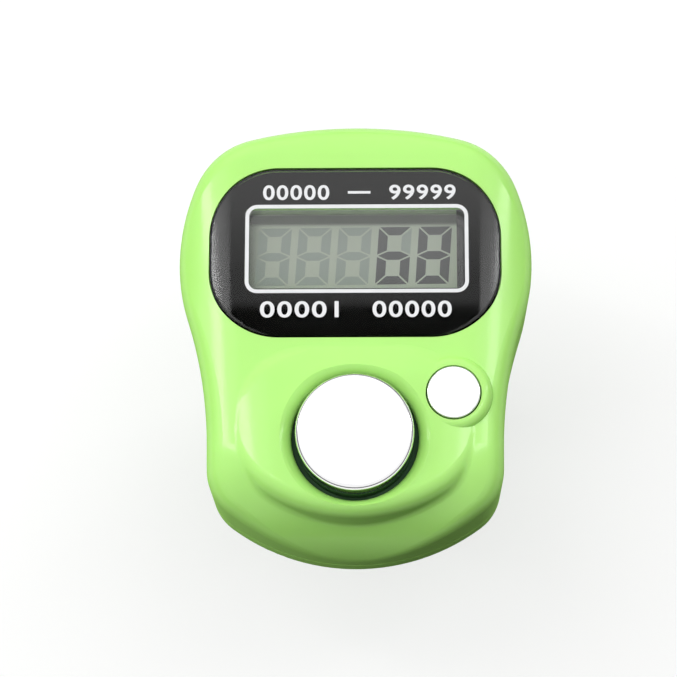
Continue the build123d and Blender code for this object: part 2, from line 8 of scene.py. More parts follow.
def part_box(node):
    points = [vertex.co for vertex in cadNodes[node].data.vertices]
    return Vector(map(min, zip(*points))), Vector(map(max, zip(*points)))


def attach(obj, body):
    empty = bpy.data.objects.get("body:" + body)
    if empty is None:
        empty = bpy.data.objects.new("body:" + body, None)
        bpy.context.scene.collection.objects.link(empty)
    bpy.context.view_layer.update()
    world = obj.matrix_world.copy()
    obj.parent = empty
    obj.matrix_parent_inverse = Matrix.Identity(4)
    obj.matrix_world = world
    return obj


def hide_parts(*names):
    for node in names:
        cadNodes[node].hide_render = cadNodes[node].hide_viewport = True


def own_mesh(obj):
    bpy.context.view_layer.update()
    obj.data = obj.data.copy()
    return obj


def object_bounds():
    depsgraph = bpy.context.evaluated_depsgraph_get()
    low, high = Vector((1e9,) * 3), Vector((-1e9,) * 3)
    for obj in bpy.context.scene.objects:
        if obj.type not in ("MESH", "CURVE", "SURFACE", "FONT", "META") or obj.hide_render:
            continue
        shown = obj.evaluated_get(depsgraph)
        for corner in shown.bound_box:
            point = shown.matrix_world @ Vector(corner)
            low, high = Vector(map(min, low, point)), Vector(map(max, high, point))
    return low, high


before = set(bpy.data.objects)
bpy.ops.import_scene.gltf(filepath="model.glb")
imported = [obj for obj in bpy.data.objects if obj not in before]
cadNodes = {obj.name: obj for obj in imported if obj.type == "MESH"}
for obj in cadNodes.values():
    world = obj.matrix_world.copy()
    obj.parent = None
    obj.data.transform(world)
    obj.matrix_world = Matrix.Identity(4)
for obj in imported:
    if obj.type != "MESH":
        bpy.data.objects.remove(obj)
cadLow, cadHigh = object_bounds()
mm = 0.001


# small helpers for node materials; noise runs in object space, so scale is features per metre
noiseSpan = (0.3, 0.7)  # where nearly all of a noise lies
fineDetail = 4.0
smudgeDetail = 2.0


def startMaterial(name):
    material = bpy.data.materials.new(name)
    material.use_nodes = True
    return material, material.node_tree, material.node_tree.nodes["Principled BSDF"]


def addNoise(tree, scale, detail=3.0, stretch=(1, 1, 1)):
    coords = tree.nodes.new("ShaderNodeTexCoord")
    mapping = tree.nodes.new("ShaderNodeMapping")
    noise = tree.nodes.new("ShaderNodeTexNoise")
    mapping.inputs["Scale"].default_value = stretch
    noise.inputs["Scale"].default_value = scale
    noise.inputs["Detail"].default_value = detail
    tree.links.new(coords.outputs["Object"], mapping.inputs["Vector"])
    tree.links.new(mapping.outputs["Vector"], noise.inputs["Vector"])
    return noise.outputs["Fac"]


# from one span to the other, in a straight line
def addRange(tree, source, toSpan, fromSpan=noiseSpan, kind="LINEAR"):
    ranger = tree.nodes.new("ShaderNodeMapRange")
    ranger.interpolation_type = kind
    ranger.inputs["From Min"].default_value, ranger.inputs["From Max"].default_value = fromSpan
    ranger.inputs["To Min"].default_value, ranger.inputs["To Max"].default_value = toSpan
    tree.links.new(source, ranger.inputs["Value"])
    return ranger.outputs["Result"]


# the same with eased ends
def addSpan(tree, source, fromSpan, toSpan):
    return addRange(tree, source, toSpan, fromSpan, "SMOOTHSTEP")


def addAxis(tree, source, axis):
    split = tree.nodes.new("ShaderNodeSeparateXYZ")
    tree.links.new(source, split.inputs["Vector"])
    return split.outputs[axis]


def addMath(tree, operation, *sources):
    node = tree.nodes.new("ShaderNodeMath")
    node.operation = operation
    for socket, source in zip(node.inputs, sources):
        if isinstance(source, float):
            socket.default_value = source
        else:
            tree.links.new(source, socket)
    return node.outputs["Value"]


def addTint(tree, source, first, second):
    ramp = tree.nodes.new("ShaderNodeValToRGB")
    for element, position, color in zip(ramp.color_ramp.elements, noiseSpan, (first, second)):
        element.position = position
        element.color = (*color, 1)
    tree.links.new(source, ramp.inputs["Fac"])
    return ramp.outputs["Color"]


def addBump(tree, shader, source, depth):
    bump = tree.nodes.new("ShaderNodeBump")
    bump.inputs["Distance"].default_value = depth
    tree.links.new(source, bump.inputs["Height"])
    tree.links.new(bump.outputs["Normal"], shader.inputs["Normal"])


# the first shader where the factor is 0, the second where it is 1
def mixShaders(tree, factor, first, second):
    mix = tree.nodes.new("ShaderNodeMixShader")
    for socket, source in zip(mix.inputs, (factor, first, second)):
        tree.links.new(source, socket)
    return mix.outputs["Shader"]


# one finish from a dictionary: colours drift with a coarse noise, gloss and relief with a fine one
def makeFinish(name, look):
    material, tree, shader = startMaterial(name)
    coarse = addNoise(tree, look["coarse"])
    fine = addNoise(tree, look["fine"], fineDetail, look.get("stretch", (1, 1, 1)))
    tree.links.new(addTint(tree, coarse, *look["colors"]), shader.inputs["Base Color"])
    tree.links.new(addRange(tree, fine, look["rough"]), shader.inputs["Roughness"])
    addBump(tree, shader, fine, look["relief"] * mm)
    for socket, value in look.get("sockets", {}).items():
        shader.inputs[socket].default_value = value
    return material


def dress(nodeName, material):
    mesh = cadNodes[nodeName].data
    mesh.materials.clear()
    mesh.materials.append(material)


def placePiece(name, mesh, material):
    mesh.materials.clear()
    mesh.materials.append(material)
    piece = bpy.data.objects.new(name, mesh)
    bpy.context.scene.collection.objects.link(piece)
    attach(piece, "case")
    return piece


def newPiece(name, vertices, faces, material, slot=None):
    mesh = bpy.data.meshes.new(name)
    mesh.from_pydata(vertices, [], faces)
    mesh.validate()
    cleaner = bmesh.new()
    cleaner.from_mesh(mesh)
    bmesh.ops.recalc_face_normals(cleaner, faces=cleaner.faces)
    cleaner.to_mesh(mesh)
    cleaner.free()
    return placePiece(name, mesh, material)


# mesh of an object with its curves or modifiers worked out
def evaluatedMesh(source):
    bpy.context.view_layer.update()
    return bpy.data.meshes.new_from_object(source.evaluated_get(bpy.context.evaluated_depsgraph_get()))


def smoothShade(piece, angle):
    piece.data.shade_smooth()
    piece.data.set_sharp_from_angle(angle=math.radians(angle))


# case: glossy lime moulding, front and rear alike
shellLook = {
    "colors": ((0.445, 0.865, 0.195), (0.455, 0.88, 0.205)),
    "coarse": 160,
    "fine": 1400,
    "rough": (0.09, 0.13),
    "relief": 0.00015,
    "gloss": (0.0, 0.4),
    "glossSlopes": (0.35, 0.9),  # how level a surface is where its gloss starts and where it is full; the gloss lost below that is painted shade
    "sockets": {
        "IOR": 1.5,
        "Subsurface Weight": 0.12,
        "Subsurface Radius": (0.6, 1.0, 0.25),
        "Subsurface Scale": 0.0008,
    },
}


# full gloss on the face, less down the upright walls: painted shade that keeps the floor's reflection off
# the walls
def makeLimePlastic():
    material = makeFinish("limePlastic", shellLook)
    tree = material.node_tree
    geometry = tree.nodes.new("ShaderNodeNewGeometry")
    upward = addMath(tree, "ABSOLUTE", addAxis(tree, geometry.outputs["Normal"], "Z"))
    # painted shade: steeper walls lose their gloss, and with it the floor's reflection
    gloss = addSpan(tree, upward, shellLook["glossSlopes"], shellLook["gloss"])
    tree.links.new(gloss, tree.nodes["Principled BSDF"].inputs["Specular IOR Level"])
    return material


limePlastic = makeLimePlastic()
dress("front_shell", limePlastic)
dress("rear_cover", limePlastic)

# buttons: bright chrome that gives way, inside the hole, to a dark painted shade for the gap round them
chromeLook = {
    "plated": (0.93, 0.93, 0.94),
    # dark greenish painted shade low on each button, standing in for the shadowed gap
    "bare": (0.07, 0.14, 0.075),
    "fine": 1800,
    "rough": (0.02, 0.045),
    "relief": 0.0004,
    "starts": {"count_button": 0.5, "reset_button": 0.8},  # share of the button's height where the chrome gives way to painted shade
    "blend": 0.01,
}


def makeChrome(nodeName, start):
    material, tree, shader = startMaterial(nodeName + "_chrome")
    coords = tree.nodes.new("ShaderNodeTexCoord")
    height = addAxis(tree, coords.outputs["Generated"], "Z")
    blend = chromeLook["blend"]
    # below this height the chrome gives way to painted shade: no metal and no gloss
    chromeAboveShade = addRange(tree, height, (0, 1), (start - blend, start + blend))
    color = addTint(tree, chromeAboveShade, chromeLook["bare"], chromeLook["plated"])
    tree.links.new(color, shader.inputs["Base Color"])
    tree.links.new(chromeAboveShade, shader.inputs["Metallic"])
    tree.links.new(chromeAboveShade, shader.inputs["Specular IOR Level"])
    fine = addNoise(tree, chromeLook["fine"], fineDetail)
    tree.links.new(addRange(tree, fine, chromeLook["rough"]), shader.inputs["Roughness"])
    addBump(tree, shader, fine, chromeLook["relief"] * mm)
    return material


for buttonName, chromeShadeStart in chromeLook["starts"].items():
    dress(buttonName, makeChrome(buttonName, chromeShadeStart))

# lens and the black print behind it
lensLook = {
    "tint": (0.985, 0.99, 0.99),
    "paintedReflectionStep": ((0.13, 0.23), (0.1, 0.5)),  # painted reflection: up the lens it first steps up, then rises on
    "paintedReflectionRise": ((0.25, 0.95), (0.0, 0.5)),
    "paintedReflectionSlopes": (0.09, 0.15),  # sideways slopes between which the rolled ends gain the full painted reflection and their extra roughness
    "rough": (0.0, 0.012),
    "endRough": 0.14,
    "smudge": 500,
    "index": 1.58,
    "edge": (0.004, 0.004, 0.0045),
    "edgeSlope": 0.55,  # less level than this is edge
}


# see-through material, and the roughness of its faint smudges
def startClear(name, look):
    material, tree, shader = startMaterial(name)
    shader.inputs["Base Color"].default_value = (*look["tint"], 1)
    shader.inputs["Transmission Weight"].default_value = 1.0
    shader.inputs["IOR"].default_value = look["index"]
    smudge = addNoise(tree, look["smudge"], smudgeDetail)
    return material, tree, shader, addRange(tree, smudge, look["rough"])


# clear through its faces, blackened round its edge, with a painted reflection that grows up the lens and
# at its rolled ends
def makeLensClear():
    material, tree, shader, smudged = startClear("lensClear", lensLook)
    coords = tree.nodes.new("ShaderNodeTexCoord")
    geometry = tree.nodes.new("ShaderNodeNewGeometry")
    height = addAxis(tree, coords.outputs["Generated"], "Y")
    step = addSpan(tree, height, *lensLook["paintedReflectionStep"])
    upward = addMath(tree, "ADD", step, addSpan(tree, height, *lensLook["paintedReflectionRise"]))
    sideSlope = addMath(tree, "ABSOLUTE", addAxis(tree, geometry.outputs["Normal"], "X"))
    paintedEndReflection = addSpan(tree, sideSlope, lensLook["paintedReflectionSlopes"], (0, 1))
    # painted reflection: the specular tint follows the lens's height and the slope of its ends
    tree.links.new(addMath(tree, "MAXIMUM", upward, paintedEndReflection), shader.inputs["Specular Tint"])
    endRough = addSpan(tree, sideSlope, lensLook["paintedReflectionSlopes"], (0, lensLook["endRough"]))
    tree.links.new(addMath(tree, "MAXIMUM", smudged, endRough), shader.inputs["Roughness"])
    paint = tree.nodes.new("ShaderNodeBsdfDiffuse")
    paint.inputs["Color"].default_value = (*lensLook["edge"], 1)
    levelness = addMath(tree, "ABSOLUTE", addAxis(tree, geometry.outputs["Normal"], "Z"))
    edge = addMath(tree, "LESS_THAN", levelness, lensLook["edgeSlope"])
    surface = mixShaders(tree, edge, shader.outputs["BSDF"], paint.outputs["BSDF"])
    tree.links.new(surface, tree.nodes["Material Output"].inputs["Surface"])
    return material


maskLook = {
    "colors": ((0.004, 0.004, 0.0045), (0.006, 0.006, 0.0065)),
    "coarse": 400,
    "fine": 5000,
    "rough": (0.3, 0.4),
    "relief": 0.0005,
}
dress("display_lens", makeLensClear())
dress("lens_mask", makeFinish("maskBlack", maskLook))
print("case, buttons and lens dressed")

# display layers; the film is what shows in the window
filmLook = {
    "colors": ((0.455, 0.505, 0.415), (0.47, 0.52, 0.43)),
    "coarse": 220,
    "fine": 9000,
    "rough": (0.45, 0.55),
    "relief": 0.0006,
    "band": ((0.735, 0.78), (1.0, 0.15)),  # painted shadow of the window's upper edge, in shares of the film's length
    "strip": ((0.838, 0.872), (0.0, 0.95)),  # painted light: a paler strip above that shadow
    "side": ((0.01, 0.1), (0.3, 1.0)),  # painted shadow along its left end
}
glassLook = {"tint": (0.88, 0.93, 0.9), "index": 1.52, "rough": (0.0, 0.01), "smudge": 700}


def makeDisplayGlass():
    material, tree, shader, smudged = startClear("displayGlass", glassLook)
    tree.links.new(smudged, shader.inputs["Roughness"])
    return material


# film with a painted shadow band and a painted light strip along its upper border, and painted shadow at
# its left end
def makeDisplayFilm():
    material = makeFinish("displayFilm", filmLook)
    tree = material.node_tree
    baseColor = tree.nodes["Principled BSDF"].inputs["Base Color"]
    coords = tree.nodes.new("ShaderNodeTexCoord")
    height = addAxis(tree, coords.outputs["Generated"], "Y")
    across = addAxis(tree, coords.outputs["Generated"], "X")
    # painted shadow and painted light scale the film's colour
    band = addSpan(tree, height, *filmLook["band"])
    border = addMath(tree, "ADD", band, addSpan(tree, height, *filmLook["strip"]))
    level = addMath(tree, "MULTIPLY", border, addSpan(tree, across, *filmLook["side"]))
    shade = tree.nodes.new("ShaderNodeVectorMath")
    shade.operation = "SCALE"
    tree.links.new(baseColor.links[0].from_socket, shade.inputs["Vector"])
    tree.links.new(level, shade.inputs["Scale"])
    tree.links.new(shade.outputs["Vector"], baseColor)
    return material


displayFilm = makeDisplayFilm()
displayGlass = makeDisplayGlass()
dress("lcd_front_polariser", displayFilm)
dress("lcd_reflector", displayFilm)
dress("lcd_front_glass", displayGlass)
dress("lcd_rear_glass", displayGlass)

# pieces inside the case
insideLooks = {
    "boardMask": {
        "colors": ((0.012, 0.11, 0.035), (0.02, 0.16, 0.05)),
        "coarse": 900,
        "fine": 7000,
        "rough": (0.35, 0.5),
        "relief": 0.004,
    },
    "blackResin": {
        "colors": ((0.01, 0.01, 0.011), (0.02, 0.02, 0.021)),
        "coarse": 700,
        "fine": 3000,
        "rough": (0.3, 0.55),
        "relief": 0.01,
    },
    "firedCeramic": {
        "colors": ((0.36, 0.25, 0.15), (0.48, 0.36, 0.24)),
        "coarse": 1500,
        "fine": 9000,
        "rough": (0.5, 0.7),
        "relief": 0.003,
    },
    "carbonRubber": {
        "colors": ((0.015, 0.015, 0.016), (0.03, 0.03, 0.031)),
        "coarse": 1500,
        "fine": 12000,
        "rough": (0.6, 0.85),
        "relief": 0.004,
    },
    "cellSteel": {
        "colors": ((0.66, 0.66, 0.66), (0.75, 0.75, 0.74)),
        "coarse": 500,
        "fine": 2500,
        "rough": (0.2, 0.38),
        "relief": 0.001,
        "stretch": (1, 14, 1),
        "sockets": {"Metallic": 1.0},
    },
    "contactBrass": {
        "colors": ((0.72, 0.53, 0.24), (0.83, 0.66, 0.34)),
        "coarse": 700,
        "fine": 3000,
        "rough": (0.22, 0.4),
        "relief": 0.0015,
        "stretch": (1, 12, 1),
        "sockets": {"Metallic": 1.0},
    },
    "screwSteel": {
        "colors": ((0.5, 0.5, 0.51), (0.62, 0.62, 0.62)),
        "coarse": 900,
        "fine": 5000,
        "rough": (0.25, 0.45),
        "relief": 0.002,
        "sockets": {"Metallic": 1.0},
    },
}
insideFinishes = {name: makeFinish(name, look) for name, look in insideLooks.items()}
insideNodes = {
    "circuit_board": "boardMask",
    "chip_blob": "blackResin",
    "chip_resistors": "blackResin",
    "chip_capacitors": "firedCeramic",
    "zebra_strip": "carbonRubber",
    "count_pill": "carbonRubber",
    "reset_pill": "carbonRubber",
    "button_cell": "cellSteel",
    "positive_contact": "contactBrass",
    "negative_contact": "contactBrass",
    "case_screws": "screwSteel",
    "board_screws": "screwSteel",
}
for nodeName, finishName in insideNodes.items():
    dress(nodeName, insideFinishes[finishName])
print("display and inner pieces dressed")

# where the window lies, read from the lens and film parts
windowShape = {"side": 0.0, "rise": 0.6}  # from the lens's centre
_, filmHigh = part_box("lcd_front_polariser")
lensLow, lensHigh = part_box("display_lens")
windowX = windowShape["side"] * mm
windowY = (lensLow.y + lensHigh.y) / 2 + windowShape["rise"] * mm


def prism(outline, low, high):
    count = len(outline)
    vertices = [(x, y, low) for x, y in outline] + [(x, y, high) for x, y in outline]
    faces = [tuple(range(count))[::-1], tuple(range(count, 2 * count))]
    for i in range(count):
        j = (i + 1) % count
        faces.append((i, j, count + j, count + i))
    return vertices, faces


# rectangle with round corners about the origin
def roundedBox(width, height, corner, steps):
    points = []
    for quarter, (sx, sy) in enumerate(((1, 1), (-1, 1), (-1, -1), (1, -1))):
        for step in range(steps + 1):
            angle = math.radians(90 * (quarter + step / steps))
            points.append((
                sx * (width / 2 - corner) + corner * math.cos(angle),
                sy * (height / 2 - corner) + corner * math.sin(angle),
            ))
    return points


def joinShapes(shapes):
    vertices, faces = [], []
    for shapeVertices, shapeFaces in shapes:
        start = len(vertices)
        vertices += shapeVertices
        faces += [tuple(start + i for i in face) for face in shapeFaces]
    return vertices, faces


# seven-segment figures
digitShape = {
    "width": 2.77,
    "height": 5.03,
    "upright": 0.79,  # thickness of the standing segments
    "level": 0.72,
    "gap": 0.14,
    "slant": 4.5,
    "pitch": 3.38,
    "places": 5,
    "offset": (-0.16, -0.28),  # from the window's centre
    "turn": 0.5,
    "thick": 0.02,
    "shown": (None, None, None, 6, 8),
    "darkColors": ((0.07, 0.07, 0.074), (0.085, 0.085, 0.088)),
    "ghostColors": ((0.3, 0.348, 0.308), (0.315, 0.363, 0.323)),
}
litSegments = {6: "acdefg", 8: "abcdefg", None: ""}


def segmentOutlines():
    gap = digitShape["gap"]
    w = digitShape["width"] + gap
    h = digitShape["height"] + gap
    tv = digitShape["upright"] + gap
    th = digitShape["level"] + gap
    upper, lower, middle = h / 2 + th / 2, h / 2 - th / 2, h / 2
    return {
        "a": [(tv, h - th), (w - tv, h - th), (w, h), (0, h)],
        "b": [(w - tv, upper), (w, middle), (w, h), (w - tv, h - th)],
        "c": [(w - tv, th), (w, 0), (w, middle), (w - tv, lower)],
        "d": [(0, 0), (w, 0), (w - tv, th), (tv, th)],
        "e": [(0, 0), (tv, th), (tv, lower), (0, middle)],
        "f": [(0, middle), (tv, upper), (tv, h - th), (0, h)],
        "g": [(0, middle), (tv, lower), (w - tv, lower), (w, middle), (w - tv, upper), (tv, upper)],
    }


# moves every side of a convex outline inwards
def insetOutline(points, amount):
    count = len(points)
    sides = []
    for i in range(count):
        start, end = Vector(points[i]), Vector(points[(i + 1) % count])
        along = (end - start).normalized()
        inward = Vector((-along.y, along.x))
        sides.append((start + inward * amount, along))
    corners = []
    for i in range(count):
        (p, u), (q, v) = sides[i - 1], sides[i]
        cross = u.x * v.y - u.y * v.x
        t = ((q - p).x * v.y - (q - p).y * v.x) / cross
        corners.append(p + u * t)
    return corners


def placeDigitPoint(point, column):
    width, height = digitShape["width"] + digitShape["gap"], digitShape["height"] + digitShape["gap"]
    x, y = point[0] - width / 2, point[1] - height / 2
    x += y * math.tan(math.radians(digitShape["slant"]))
    x += (column - (digitShape["places"] - 1) / 2) * digitShape["pitch"]
    turn = math.radians(digitShape["turn"])
    x, y = x * math.cos(turn) - y * math.sin(turn), x * math.sin(turn) + y * math.cos(turn)
    return windowX + (x + digitShape["offset"][0]) * mm, windowY + (y + digitShape["offset"][1]) * mm


def makeFigures():
    dark, ghost = [], []
    low = filmHigh.z
    high = filmHigh.z + digitShape["thick"] * mm
    for column, figure in enumerate(digitShape["shown"]):
        for letter, outline in segmentOutlines().items():
            inner = insetOutline(outline, digitShape["gap"] / 2)
            shape = prism([placeDigitPoint(p, column) for p in inner], low, high)
            (dark if letter in litSegments[figure] else ghost).append(shape)
    for name, shapes, colors in (
        ("display_figures", dark, digitShape["darkColors"]),
        ("display_figures_off", ghost, digitShape["ghostColors"]),
    ):
        ink = makeFinish(name, {**filmLook, "colors": colors})
        newPiece(name, *joinShapes(shapes), ink, slot="display_film")


makeFigures()

# white frame and plain numbers printed on the lens
printShape = {
    "offset": (0.155, -0.36),  # from the window's centre
    "outer": (18.62, 7.68),
    "line": 0.315,
    "corner": 1.0,
    "thick": 0.02,
    "steps": 8,
    "numbers": (
        ("00000", (-7.86, -2.3), 4.91, 1.32),
        ("99999", (2.72, 8.28), 4.91, 1.32),
        ("00001", (-8.03, -1.5), -5.25, 1.42),
        ("00000", (1.3, 7.86), -5.25, 1.42),
    ),
    "dash": ((-0.75, 1.15), 4.91, 0.22),
    "bold": 0.035,
    "capShare": 0.7,  # height of a figure in the font's size
    "spacing": 1.12,
    "curveSteps": 6,
}
printLook = {
    "colors": ((0.74, 0.75, 0.76), (0.78, 0.79, 0.80)),
    "coarse": 900,
    "fine": 9000,
    "rough": (0.4, 0.55),
    "relief": 0.001,
}
printWhite = makeFinish("printWhite", printLook)
printX = windowX + printShape["offset"][0] * mm
printY = windowY + printShape["offset"][1] * mm
printLow, printHigh = lensHigh.z, lensHigh.z + printShape["thick"] * mm


def printPoints(points):
    return [(printX + x * mm, printY + y * mm) for x, y in points]


def makePrintedFrame():
    width, height = printShape["outer"]
    line, corner, steps = printShape["line"], printShape["corner"], printShape["steps"]
    outer = printPoints(roundedBox(width, height, corner, steps))
    inner = printPoints(roundedBox(width - 2 * line, height - 2 * line, corner - line, steps))
    count = len(outer)
    levels = ((outer, printLow), (inner, printLow), (outer, printHigh), (inner, printHigh))
    vertices = [(x, y, z) for loop, z in levels for x, y in loop]
    faces = []
    for i in range(count):
        j = (i + 1) % count
        for first, second in ((0, 1), (1, 3), (3, 2), (2, 0)):
            faces.append((first * count + i, first * count + j, second * count + j, second * count + i))
    newPiece("printed_frame", vertices, faces, printWhite)


# a word of figures stretched to its place
def makePrintedNumber(name, text, span, centreY, height):
    curve = bpy.data.curves.new(name, "FONT")
    curve.body = text
    curve.size = height * mm / printShape["capShare"]
    curve.space_character = printShape["spacing"]
    curve.extrude = printShape["thick"] * mm / 2
    curve.offset = printShape["bold"] * mm
    curve.resolution_u = printShape["curveSteps"]
    words = bpy.data.objects.new(name + "_curve", curve)
    bpy.context.scene.collection.objects.link(words)
    mesh = evaluatedMesh(words)
    bpy.data.objects.remove(words)
    xs = [v.co.x for v in mesh.vertices]
    ys = [v.co.y for v in mesh.vertices]
    scaleX = (span[1] - span[0]) * mm / (max(xs) - min(xs))
    scaleY = height * mm / (max(ys) - min(ys))
    for v in mesh.vertices:
        x = printX + span[0] * mm + (v.co.x - min(xs)) * scaleX
        y = printY + centreY * mm + (v.co.y - (max(ys) + min(ys)) / 2) * scaleY
        v.co = (x, y, (printLow + printHigh) / 2 + v.co.z)
    placePiece(name, mesh, printWhite)


makePrintedFrame()
for index, (text, span, centreY, height) in enumerate(printShape["numbers"]):
    makePrintedNumber(f"printed_number_{index + 1}", text, span, centreY, height)
(dashLeft, dashRight), dashY, dashThick = printShape["dash"]
dashOutline = printPoints((
    (dashLeft, dashY - dashThick / 2),
    (dashRight, dashY - dashThick / 2),
    (dashRight, dashY + dashThick / 2),
    (dashLeft, dashY + dashThick / 2),
))
newPiece("printed_dash", *prism(dashOutline, printLow, printHigh), printWhite)
print("figures and prints placed")

# finger band: soft strap whose tail is threaded back through its head
bandShape = {
    "bore": 9.25,  # radius of the finger
    "thick": 1.2,
    "width": 8.0,
    "edge": 0.42,  # rounding of the strap's edges
    "edgeSteps": 5,
    "lean": 10.0,
    "corner": 4.0,
    "middle": 11.25,  # height of the strap's middle under the case
    "layer": 1.4,  # from the strap's middle to the tail's
    "tailTurn": 48.0,
    "tipLength": 2.6,
    "tipLeast": 0.3,  # share of the width left at the tip
    "loopSteps": 40,
    "cornerSteps": 16,
    "tailSteps": 30,
    "crease": 60,
    "headLength": 8.0,
    "headWidth": 10.4,
    "headLow": -12.95,
    "headRound": 1.2,  # rounding of the head's outline
    "headSoft": (0.9, 0.45),  # rounding of its side edges, in width and in depth
    "headSteps": 6,
    "hollowSteps": 24,
    "headCrease": 35,
    "slotThick": 1.4,
    "slotWidth": 8.4,
    "slotEdge": 0.1,
}
bandLook = {
    "colors": ((0.36, 0.80, 0.14), (0.40, 0.84, 0.17)),
    "coarse": 260,
    "fine": 6000,
    "rough": (0.5, 0.62),
    "relief": 0.006,
    "sockets": {
        "IOR": 1.41,
        "Subsurface Weight": 0.25,
        "Subsurface Radius": (0.7, 1.0, 0.3),
        "Subsurface Scale": 0.0012,
        "Sheen Weight": 0.12,
    },
}


def arcPoints(centre, radius, start, end, steps):
    points = []
    for step in range(steps + 1):
        angle = math.radians(start + (end - start) * step / steps)
        outward = Vector((math.cos(angle), math.sin(angle)))
        points.append((Vector(centre) + outward * radius, outward))
    return points


# centreline of the strap in X and Z with its outward direction, from the head round to the tail's tip
def strapRoute(whole=True):
    lean, corner, layer = math.radians(bandShape["lean"]), bandShape["corner"], bandShape["layer"]
    mid = bandShape["bore"] + bandShape["thick"] / 2
    drop = layer / (1 + math.sin(lean))
    wide = mid + layer - drop
    cornerZ = bandShape["middle"] - corner
    cornerX = (mid - corner - cornerZ * math.sin(lean)) / math.cos(lean)
    leanTurn = bandShape["lean"]
    loopSteps, cornerSteps = bandShape["loopSteps"], bandShape["cornerSteps"]
    route = []
    if whole:
        route += arcPoints((0, 0), mid, -90, leanTurn, loopSteps)
        route += arcPoints((cornerX, cornerZ), corner, leanTurn, 90, cornerSteps)
        route += arcPoints((-cornerX, cornerZ), corner, 90, 180 - leanTurn, cornerSteps)
    route += arcPoints((0, -drop), wide, 180 - leanTurn, 270, loopSteps)
    tailEnd = -90 + bandShape["tailTurn"]
    return route + arcPoints((0, 0), mid + layer, -90, tailEnd, bandShape["tailSteps"])[1:]


# sweeps a section with round edges along a route, narrowed over the length of its tip
def sweepStrap(route, thick, width, edge, tip=0.0):
    lengths = [0.0]
    for (a, _), (b, _) in zip(route, route[1:]):
        lengths.append(lengths[-1] + (b - a).length)
    rings, vertices, faces = [], [], []
    for (point, outward), length in zip(route, lengths):
        left = lengths[-1] - length
        narrow = 1.0
        if tip and left < tip:
            narrow = max(bandShape["tipLeast"], math.sqrt(max(0.0, 1 - ((tip - left) / tip) ** 2)))
        ring = []
        corner = min(edge, width * narrow / 2)
        for out, side in roundedBox(thick, width * narrow, corner, bandShape["edgeSteps"]):
            spot = point + outward * out
            ring.append(len(vertices))
            vertices.append((spot.x * mm, side * mm, spot.y * mm))
        rings.append(ring)
    for ringA, ringB in zip(rings, rings[1:]):
        count = len(ringA)
        for i in range(count):
            j = (i + 1) % count
            faces.append((ringA[i], ringA[j], ringB[j], ringB[i]))
    faces.append(tuple(rings[0]))
    faces.append(tuple(reversed(rings[-1])))
    return vertices, faces


# curve that leaves the first point and meets the last one along the lines to the corner
def bendPoints(first, corner, last, steps):
    first, corner, last = Vector(first), Vector(corner), Vector(last)
    points = []
    for step in range(steps + 1):
        share = step / steps
        points.append(first.lerp(corner, share).lerp(corner.lerp(last, share), share))
    return points


# side outline of the head in X and Z, hollowed on top by the finger
def headOutline():
    bore, half, low = bandShape["bore"], bandShape["headLength"] / 2, bandShape["headLow"]
    corner, steps = bandShape["headRound"], bandShape["headSteps"]
    top = -math.sqrt(bore ** 2 - half ** 2)
    side = math.degrees(math.asin(half / bore) - corner / bore)
    hollow = [p for p, _ in arcPoints((0, 0), bore, -90 + side, -90 - side, bandShape["hollowSteps"])]
    outline = [p for p, _ in arcPoints((corner - half, low + corner), corner, 180, 270, steps)]
    outline += [p for p, _ in arcPoints((half - corner, low + corner), corner, -90, 0, steps)]
    outline += bendPoints((half, top - corner), (half, top), hollow[0], steps)
    outline += hollow[1:-1]
    outline += bendPoints(hollow[-1], (-half, top), (-half, top - corner), steps)
    return outline


# head with softened sides, and the slot that the tail runs through
def makeBandHead(material):
    outline = headOutline()
    wide, deep = bandShape["headSoft"]
    steps, depth = bandShape["headSteps"], bandShape["headWidth"] / 2
    rows = []
    for step in range(steps + 1):
        angle = math.radians(90 * step / steps)
        ring = insetOutline(outline, deep * (1 - math.sin(angle)))
        rows.append((ring, depth - wide * (1 - math.cos(angle))))
    rows = [(ring, -y) for ring, y in rows] + rows[::-1]
    count = len(outline)
    vertices = [(p.x * mm, y * mm, p.y * mm) for ring, y in rows for p in ring]
    faces = [tuple(range(count)), tuple(range(len(vertices) - 1, len(vertices) - count - 1, -1))]
    for row in range(len(rows) - 1):
        for i in range(count):
            j = (i + 1) % count
            faces.append((row * count + i, (row + 1) * count + i, (row + 1) * count + j, row * count + j))
    head = newPiece("finger_band_head", vertices, faces, material, slot="band_rubber")
    slotSize = (bandShape["slotThick"], bandShape["slotWidth"], bandShape["slotEdge"])
    cutter = newPiece("band_slot_cutter", *sweepStrap(strapRoute(whole=False), *slotSize), material)
    slot = head.modifiers.new("slot", "BOOLEAN")
    slot.operation = "DIFFERENCE"
    slot.solver = "EXACT"
    slot.object = cutter
    finished = evaluatedMesh(head)
    head.modifiers.clear()
    head.data = finished
    bpy.data.objects.remove(cutter)
    smoothShade(head, bandShape["headCrease"])


limeSilicone = makeFinish("limeSilicone", bandLook)
strapSize = (bandShape["thick"], bandShape["width"], bandShape["edge"], bandShape["tipLength"])
strapMesh = sweepStrap(strapRoute(), *strapSize)
strap = newPiece("finger_band_strap", *strapMesh, limeSilicone, slot="band_rubber")
smoothShade(strap, bandShape["crease"])
makeBandHead(limeSilicone)
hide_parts("finger_band")
print("finger band built")

